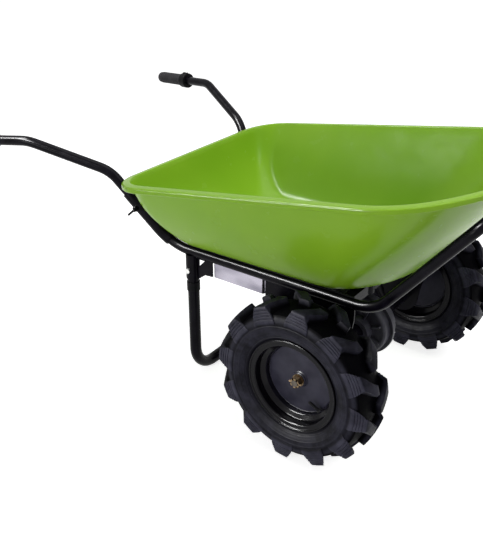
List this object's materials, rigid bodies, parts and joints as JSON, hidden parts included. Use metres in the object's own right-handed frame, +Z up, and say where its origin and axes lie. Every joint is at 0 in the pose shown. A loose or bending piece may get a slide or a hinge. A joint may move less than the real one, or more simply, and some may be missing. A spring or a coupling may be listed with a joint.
{
  "type": "power wheelbarrow",
  "caption": "Battery-driven wheelbarrow: pressed tray on a bent tube frame, driven wheels with chevron tyres, tube stand and handles with a twist throttle.",
  "frame": {"origin": "on the ground, below the middle of the barrow's whole length and width", "axes": "+X forward towards the tray's nose, +Y to the left of someone pushing it, +Z up"},
  "size_m": [1.4189, 0.8674, 0.7055],
  "materials": {
    "tray_paint": "gloss powder coat",
    "frame_paint": "gloss powder coat",
    "stainless": "brushed",
    "zinc": "zinc plated",
    "yellow_zinc": "yellow zinc plated",
    "tyre_rubber": "moulded",
    "rim_paint": "gloss",
    "cast_case": "satin",
    "motor_paint": "satin",
    "shaft_steel": "ground",
    "grip_rubber": "moulded",
    "pod_plastic": "moulded",
    "battery_plastic": "moulded",
    "controller_metal": "extruded",
    "key_plastic": "moulded",
    "valve_rubber": "moulded"
  },
  "bodies": {
    "frame": {"axle_bearing_left": "shaft_steel", "axle_bearing_right": "shaft_steel", "axle_flange_bolts": "zinc", "axle_tube_left": "frame_paint", "axle_tube_right": "frame_paint", "battery_box": "stainless", "battery_box_lid": "stainless", "battery_pack": "battery_plastic", "charge_socket": "grip_rubber", "controller": "controller_metal", "cross_member_front": "frame_paint", "cross_member_rear": "frame_paint", "frame_rail_left": "frame_paint", "frame_rail_right": "frame_paint", "gear_housing_left": "cast_case", "gear_housing_right": "cast_case", "grip_left": "grip_rubber", "gusset_left": "frame_paint", "gusset_right": "frame_paint", "handle_left": "frame_paint", "handle_right": "frame_paint", "handle_sleeve_left": "frame_paint", "handle_sleeve_right": "frame_paint", "housing_screws": "zinc", "leg_collar_left": "pod_plastic", "leg_collar_right": "pod_plastic", "leg_socket_left": "frame_paint", "leg_socket_right": "frame_paint", "motor": "motor_paint", "motor_cap": "cast_case", "nose_hoop": "frame_paint", "side_plate_left": "frame_paint", "side_plate_right": "frame_paint", "stand": "frame_paint", "stand_bolts": "zinc", "switch_pod": "pod_plastic", "throttle_pod": "pod_plastic", "tray": "tray_paint", "tray_bolts": "zinc", "tray_nuts": "zinc", "wing_bolt_left": "frame_paint", "wing_bolt_right": "frame_paint"},
    "wheel_left": {"tyre_left": "tyre_rubber", "rim_left": "rim_paint", "hub_left": "rim_paint", "valve_left": "valve_rubber", "axle_shaft_left": "shaft_steel", "castle_nut_left": "yellow_zinc"},
    "wheel_right": {"tyre_right": "tyre_rubber", "rim_right": "rim_paint", "hub_right": "rim_paint", "valve_right": "valve_rubber", "axle_shaft_right": "shaft_steel", "castle_nut_right": "yellow_zinc"},
    "throttle": {"throttle_grip": "grip_rubber"},
    "direction_switch": {"direction_rocker": "key_plastic"},
    "power_key": {"key_switch": "key_plastic"}
  },
  "joints": [
    {"name": "wheel_left_spin", "type": "hinge", "parent": "frame", "child": "wheel_left", "pos_m": [0.32653, 0.306, 0.205], "axis": [0, 1, 0], "continuous": true},
    {"name": "wheel_right_spin", "type": "hinge", "parent": "frame", "child": "wheel_right", "pos_m": [0.32653, -0.306, 0.205], "axis": [0, 1, 0], "continuous": true},
    {"name": "throttle_twist", "type": "hinge", "parent": "frame", "child": "throttle", "pos_m": [-0.64544, -0.40354, 0.61407], "axis": [0.9673, 0.2327, 0.1012], "range_deg": [0, 65], "stiffness_Nm_per_rad": 0.35},
    {"name": "direction_rocker_tip", "type": "hinge", "parent": "frame", "child": "direction_switch", "pos_m": [-0.57593, 0.38681, 0.64345], "axis": [-0.2339, -0.9723, 0], "range_deg": [-8, 8]},
    {"name": "power_key_turn", "type": "hinge", "parent": "frame", "child": "power_key", "pos_m": [-0.00847, -0.06, 0.3405], "axis": [-1, 0, 0], "range_deg": [0, 90]}
  ]
}
